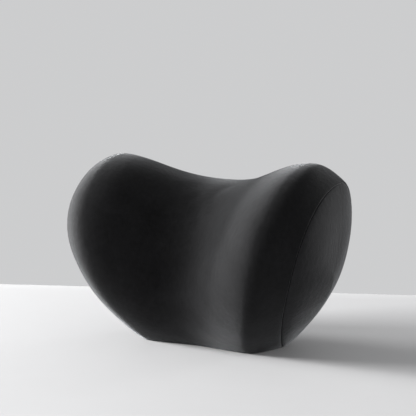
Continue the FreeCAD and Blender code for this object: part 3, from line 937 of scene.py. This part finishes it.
upper_hem = zip_hem(upper_back_cover, ZIP_Z + HEM_LINE)
lower_hem = zip_hem(lower_back_cover, ZIP_Z - HEM_LINE)
tail_tacks = [bar_tack(-53, -2.35, 0.72), bar_tack(-56, -2.65, 0.72)]
zip_threads = stitches("zip_threads", [upper_hem, lower_hem])
left_threads = stitches("left_threads", patch_box(-1) + tail_tacks)
right_threads = stitches("right_threads", patch_box(1))


# ---- materials ----
WAVE_NODE_TURN = 0.314159      # period of a wave node of scale 1, in metres: pi / 10


class Finish:
    """A procedural material in the object's own coordinates (metres)."""

    def __init__(self, name, roughness, metallic=0.0, specular=0.5):
        self.material = bpy.data.materials.new(name)
        self.material.use_nodes = True
        self.nodes = self.material.node_tree.nodes
        self.links = self.material.node_tree.links
        self.shader = self.nodes["Principled BSDF"]
        self.set("Roughness", roughness)
        self.set("Metallic", metallic)
        self.set("Specular IOR Level", specular)
        self.coords = self.nodes.new("ShaderNodeTexCoord").outputs["Object"]
        self.relief = None

    def set(self, socket, value):
        self.shader.inputs[socket].default_value = value

    def sheen(self, weight, roughness, tint):
        self.set("Sheen Weight", weight)
        self.set("Sheen Roughness", roughness)
        self.set("Sheen Tint", (*tint, 1))

    def stretched(self, scale):
        node = self.nodes.new("ShaderNodeMapping")
        node.inputs["Scale"].default_value = scale
        self.links.new(self.coords, node.inputs["Vector"])
        return node.outputs["Vector"]

    def noise(self, scale, detail=3.0, rough=0.55, stretch=None, distortion=0.0):
        node = self.nodes.new("ShaderNodeTexNoise")
        node.inputs["Scale"].default_value = scale
        node.inputs["Detail"].default_value = detail
        node.inputs["Roughness"].default_value = rough
        node.inputs["Distortion"].default_value = distortion
        self.links.new(self.stretched(stretch) if stretch else self.coords, node.inputs["Vector"])
        return node.outputs["Fac"]

    def bands(self, period, axis, distortion=0.0):
        """Sine bands across an axis, period in metres."""
        node = self.nodes.new("ShaderNodeTexWave")
        node.wave_type = "BANDS"
        node.bands_direction = axis
        node.inputs["Scale"].default_value = WAVE_NODE_TURN / period
        node.inputs["Distortion"].default_value = distortion
        node.inputs["Detail"].default_value = 1.0
        self.links.new(self.coords, node.inputs["Vector"])
        return node.outputs["Fac"]

    def maths(self, kind, a, b):
        node = self.nodes.new("ShaderNodeMath")
        node.operation = kind
        for socket, value in zip(node.inputs, (a, b)):
            if isinstance(value, (int, float)):
                socket.default_value = value
            else:
                self.links.new(value, socket)
        return node.outputs["Value"]

    def sum_of(self, first, *others):
        """Sum of (value, weight) pairs."""
        total = self.maths("MULTIPLY", *first)
        for value, weight in others:
            total = self.maths("ADD", total, self.maths("MULTIPLY", value, weight))
        return total

    def spread(self, value, low, high):
        """Value stretched so that low..high becomes 0..1."""
        node = self.nodes.new("ShaderNodeMapRange")
        node.inputs["From Min"].default_value = low
        node.inputs["From Max"].default_value = high
        self.links.new(value, node.inputs["Value"])
        return node.outputs["Result"]

    def mixed(self, factor, a, b):
        """Colour between a and b; sockets 6, 7 and 2 are the mix node's colour ones."""
        node = self.nodes.new("ShaderNodeMix")
        node.data_type = "RGBA"
        self.links.new(factor, node.inputs["Factor"])
        node.inputs[6].default_value = (*a, 1)
        node.inputs[7].default_value = (*b, 1)
        return node.outputs[2]

    def colour(self, socket):
        self.links.new(socket, self.shader.inputs["Base Color"])

    def bump(self, height, strength, distance):
        node = self.nodes.new("ShaderNodeBump")
        node.inputs["Strength"].default_value = strength
        node.inputs["Distance"].default_value = distance
        self.links.new(height, node.inputs["Height"])
        if self.relief is not None:
            self.links.new(self.relief, node.inputs["Normal"])
        self.relief = node.outputs["Normal"]
        self.links.new(self.relief, self.shader.inputs["Normal"])

    def rough_by(self, value, low, high):
        node = self.nodes.new("ShaderNodeMapRange")
        node.inputs["To Min"].default_value = low
        node.inputs["To Max"].default_value = high
        self.links.new(value, node.inputs["Value"])
        self.links.new(node.outputs["Result"], self.shader.inputs["Roughness"])


def suede(name, dark, light, sheen, sheen_rough, nap=0.5):
    """Brushed microfibre: short nap that lies in soft patches, with a fine grain."""
    finish = Finish(name, 0.95, specular=0.12)
    finish.sheen(sheen, sheen_rough, (0.95, 0.97, 1.0))
    patches = finish.spread(finish.noise(26.0, 4.0, 0.6, distortion=0.6), 0.3, 0.7)
    grain = finish.spread(finish.noise(1500.0, 2.0, 0.6), 0.3, 0.7)
    strokes = finish.spread(finish.noise(230.0, 4.0, 0.6, stretch=(1.0, 1.0, 0.75)), 0.32, 0.68)
    tone = finish.sum_of((patches, nap), (grain, 0.2), (strokes, 0.3))
    finish.colour(finish.mixed(tone, dark, light))
    finish.bump(strokes, 0.28, 0.0004)
    finish.bump(grain, 0.35, 0.00025)
    return finish.material


def woven(name, dark, light, sheen, pitch, axes=("X", "Z"), strength=0.5):
    """Close plain weave with slightly uneven yarns."""
    finish = Finish(name, 0.8, specular=0.35)
    finish.sheen(sheen, 0.38, (0.84, 0.86, 0.9))
    warp = finish.bands(pitch, axes[0], 0.6)
    weft = finish.bands(pitch, axes[1], 0.6)
    cloth = finish.maths("MULTIPLY", warp, weft)
    fuzz = finish.spread(finish.noise(900.0, 3.0, 0.6), 0.3, 0.7)
    wear = finish.spread(finish.noise(22.0, 3.0, 0.55), 0.3, 0.7)
    tone = finish.sum_of((cloth, 0.4), (fuzz, 0.3), (wear, 0.3))
    finish.colour(finish.mixed(tone, dark, light))
    finish.bump(fuzz, 0.2, 0.0002)
    finish.bump(cloth, strength, 0.0003)
    return finish.material


def plastic(name, dark, light, roughness):
    """Moulded plastic with a spark-eroded grain, duller where it is handled."""
    finish = Finish(name, roughness, specular=0.5)
    grain = finish.noise(2600.0, 2.0, 0.5)
    rubbed = finish.spread(finish.noise(70.0, 4.0, 0.65), 0.35, 0.7)
    finish.colour(finish.mixed(rubbed, dark, light))
    finish.rough_by(rubbed, roughness - 0.1, roughness + 0.14)
    finish.bump(grain, 0.22, 0.00012)
    return finish.material


def metal(name, dark, light):
    """Plated die-cast metal with fine handling scratches."""
    finish = Finish(name, 0.34, metallic=1.0)
    scratches = finish.spread(finish.noise(420.0, 3.0, 0.7, stretch=(0.15, 1.0, 1.0)), 0.42, 0.62)
    tarnish = finish.spread(finish.noise(130.0, 4.0, 0.6), 0.3, 0.7)
    finish.colour(finish.mixed(tarnish, dark, light))
    finish.rough_by(scratches, 0.24, 0.46)
    finish.bump(scratches, 0.12, 0.00008)
    return finish.material


def open_foam(name):
    finish = Finish(name, 0.95, specular=0.2)
    cells = finish.spread(finish.noise(1200.0, 2.0, 0.5), 0.35, 0.65)
    age = finish.spread(finish.noise(18.0, 3.0, 0.5), 0.3, 0.7)
    finish.colour(finish.mixed(age, (0.62, 0.58, 0.47), (0.72, 0.69, 0.6)))
    finish.bump(cells, 0.6, 0.0006)
    return finish.material


def grey(value, blue):
    """Neutral dark colour with its own blue value."""
    return (value, value, blue)


LOOKS = {
    "cover_fabric": suede("front_suede", grey(0.003, 0.0032), grey(0.0105, 0.0112), 0.2, 0.36),
    "side_fabric": suede("side_suede", grey(0.0105, 0.011), grey(0.0195, 0.0207), 0.36, 0.3,
                         nap=0.35),
    "back_fabric": woven("back_weave", (0.014, 0.0145, 0.016), (0.04, 0.041, 0.044), 0.3, 0.0011),
    "base_fabric": woven("base_weave", grey(0.012, 0.013), grey(0.036, 0.038), 0.2, 0.0014,
                         axes=("X", "Y")),
    "zip_tape": woven("tape_weave", grey(0.008, 0.009), grey(0.024, 0.026), 0.15, 0.0008),
    "strap_webbing": woven("webbing_weave", grey(0.009, 0.01), grey(0.03, 0.032), 0.25, 0.0012,
                           strength=0.7),
    "patch_fabric": woven("patch_weave", grey(0.012, 0.013), grey(0.034, 0.036), 0.2, 0.001),
    "zip_coil": plastic("coil_nylon", grey(0.012, 0.013), grey(0.03, 0.032), 0.38),
    "buckle_plastic": plastic("buckle_plastic_look", grey(0.012, 0.013), grey(0.026, 0.028), 0.42),
    "zip_metal": metal("zip_plating", grey(0.2, 0.21), grey(0.34, 0.36)),
    "memory_foam": open_foam("foam_look"),
    # Dark knit for the liner: where the liner shows between the cover panels, this dark colour is
    # painted shade in the seam creases.
    "liner_knit": woven("liner_knit_look", grey(0.012, 0.013), grey(0.03, 0.032), 0.1, 0.0013),
}
THREAD = woven("thread_look", grey(0.02, 0.022), grey(0.06, 0.064), 0.3, 0.0005)


def dress(obj, look):
    obj.data.materials.clear()
    obj.data.materials.append(look)


PIECES = (
    (front_cover, "root", "cover_fabric", ["front_panel"]),
    (left_side_cover, "root", "side_fabric", ["left_side_panel"]),
    (right_side_cover, "root", "side_fabric", ["right_side_panel"]),
    (upper_back_cover, "root", "back_fabric", ["upper_back_panel"]),
    (lower_back_cover, "root", "back_fabric", ["lower_back_panel"]),
    (base_cover, "root", "base_fabric", ["base_panel"]),
    (foam_block, "root", "memory_foam", ["foam_core"]),
    (liner_sack, "root", "liner_knit", ["inner_liner"]),
    (upper_tape, "root", "zip_tape", ["upper_zip_tape"]),
    (lower_tape, "root", "zip_tape", ["lower_zip_tape"]),
    (upper_coil, "root", "zip_coil", ["upper_zip_coil"]),
    (lower_coil, "root", "zip_coil", ["lower_zip_coil"]),
    (left_web, "root", "strap_webbing", ["left_strap"]),
    (right_web, "root", "strap_webbing", ["right_strap"]),
    (loop_web, "adjuster", "strap_webbing", ["strap_end_loop"]),
    (left_patch, "root", "patch_fabric", ["left_anchor_patch"]),
    (right_patch, "root", "patch_fabric", ["right_anchor_patch"]),
    (zip_threads, "root", "back_fabric", []),
    (left_threads, "root", "strap_webbing", []),
    (right_threads, "root", "strap_webbing", []),
)
for piece, body, slot_name, nodes in PIECES:
    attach(piece, body)
    dress(piece, THREAD if piece.name.endswith("threads") else LOOKS[slot_name])
    if nodes:
        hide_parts(*nodes)
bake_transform(return_web)
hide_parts("strap_return")
dress(return_web, LOOKS["strap_webbing"])
PLAIN_NODES = {
    "zip_metal": ("zip_end_stops", "zip_slider", "zip_pull"),
    "buckle_plastic": ("strap_adjuster", "buckle_socket", "buckle_plug", "upper_prong",
                       "lower_prong"),
}
for slot_name, node_names in PLAIN_NODES.items():
    for node_name in node_names:
        dress(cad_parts[node_name], LOOKS[slot_name])


# ---- floor, light and camera ----
def pale_finish(name, colour):
    finish = Finish(name, 0.6, specular=0.2)
    speck = finish.spread(finish.noise(30.0, 3.0, 0.5), 0.2, 0.8)
    finish.colour(finish.mixed(speck, colour, tuple(c * 0.985 for c in colour)))
    return finish.material


def table_top():
    """Table whose far edge runs behind the cushion, softly rounded along all its edges."""
    x = np.linspace(-TABLE_HALF_W, TABLE_HALF_W, TABLE_STEPS)
    y = np.linspace(TABLE_NEAR, TABLE_FAR, TABLE_STEPS)
    grid_x, grid_y = np.meshgrid(x, y, indexing="ij")
    end_edge = np.minimum(TABLE_FAR - grid_y, grid_y - TABLE_NEAR)
    edge = np.minimum(TABLE_HALF_W - np.abs(grid_x), end_edge)
    drop = TABLE_EDGE_DROP * np.clip(1 - edge / TABLE_EDGE_RUN, 0, 1) ** 2
    turn = math.radians(CAMERA_AZIMUTH + TABLE_TURN)
    across_table = grid_x * math.cos(turn) - grid_y * math.sin(turn)
    depth = grid_x * math.sin(turn) + grid_y * math.cos(turn)
    top = np.stack([across_table, depth, -drop], axis=-1)
    under = top - np.array([0.0, 0.0, TABLE_T])
    obj = sheet_shell("floor", top, under)
    dress(obj, pale_finish("floor_look", TABLE_COLOUR))
    return obj


table_top()

SKY_STRENGTH = 0.66
SKY_RAMP = ((0.12, (0.92, 0.925, 0.935, 1)), (0.75, (0.6, 0.6, 0.605, 1)))   # by height

world = bpy.data.worlds.new("studio")
world.use_nodes = True
sky_nodes, sky_links = world.node_tree.nodes, world.node_tree.links
background = sky_nodes["Background"]
background.inputs["Strength"].default_value = SKY_STRENGTH
sky_place = sky_nodes.new("ShaderNodeTexCoord")
sky_height = sky_nodes.new("ShaderNodeSeparateXYZ")
sky_ramp = sky_nodes.new("ShaderNodeValToRGB")
for stop, (position, colour) in zip(sky_ramp.color_ramp.elements, SKY_RAMP):
    stop.position = position
    stop.color = colour
sky_links.new(sky_place.outputs["Generated"], sky_height.inputs["Vector"])
sky_links.new(sky_height.outputs["Z"], sky_ramp.inputs["Fac"])
sky_links.new(sky_ramp.outputs["Color"], background.inputs["Color"])
bpy.context.scene.world = world


def way_to(azimuth, rise):
    """Direction from the cushion; azimuth 0 is in front, 90 on its +X side."""
    a, e = math.radians(azimuth), math.radians(rise)
    return Vector((math.sin(a) * math.cos(e), -math.cos(a) * math.cos(e), math.sin(e)))


def area_light(name, azimuth, rise, distance, size, power):
    """Soft light aimed at the cushion; distance and size in metres, power in watts."""
    data = bpy.data.lights.new(name, "AREA")
    data.shape = "RECTANGLE"
    data.size, data.size_y = size
    data.energy = power
    lamp = bpy.data.objects.new(name, data)
    bpy.context.scene.collection.objects.link(lamp)
    way = way_to(azimuth, rise)
    lamp.location = Vector(LOOK_AT) + way * distance
    lamp.rotation_euler = way.to_track_quat("Z", "Y").to_euler()


area_light("key", -66, 17, 3.6, (1.4, 0.5), 300)
area_light("left_rim", -86, 3, 3.0, (0.7, 0.3), 360)
area_light("right_fill", 78, 12, 3.0, (1.4, 0.9), 8)
area_light("right_rim", 152, 2, 3.0, (0.8, 0.2), 70)
bpy.context.scene.view_settings.view_transform = "Standard"

camera_data = bpy.data.cameras.new("camera")
camera_data.lens = LENS
camera = bpy.data.objects.new("camera", camera_data)
bpy.context.scene.collection.objects.link(camera)
back = way_to(CAMERA_AZIMUTH, CAMERA_RISE)
facing = back.to_track_quat("Z", "Y")
rolled = facing @ Quaternion((0, 0, 1), -math.radians(CAMERA_ROLL))
aim = Vector(LOOK_AT) + facing @ Vector((AIM_RIGHT, AIM_UP, 0))
camera.rotation_euler = rolled.to_euler()
camera.location = aim + back * CAMERA_DISTANCE
bpy.context.scene.camera = camera
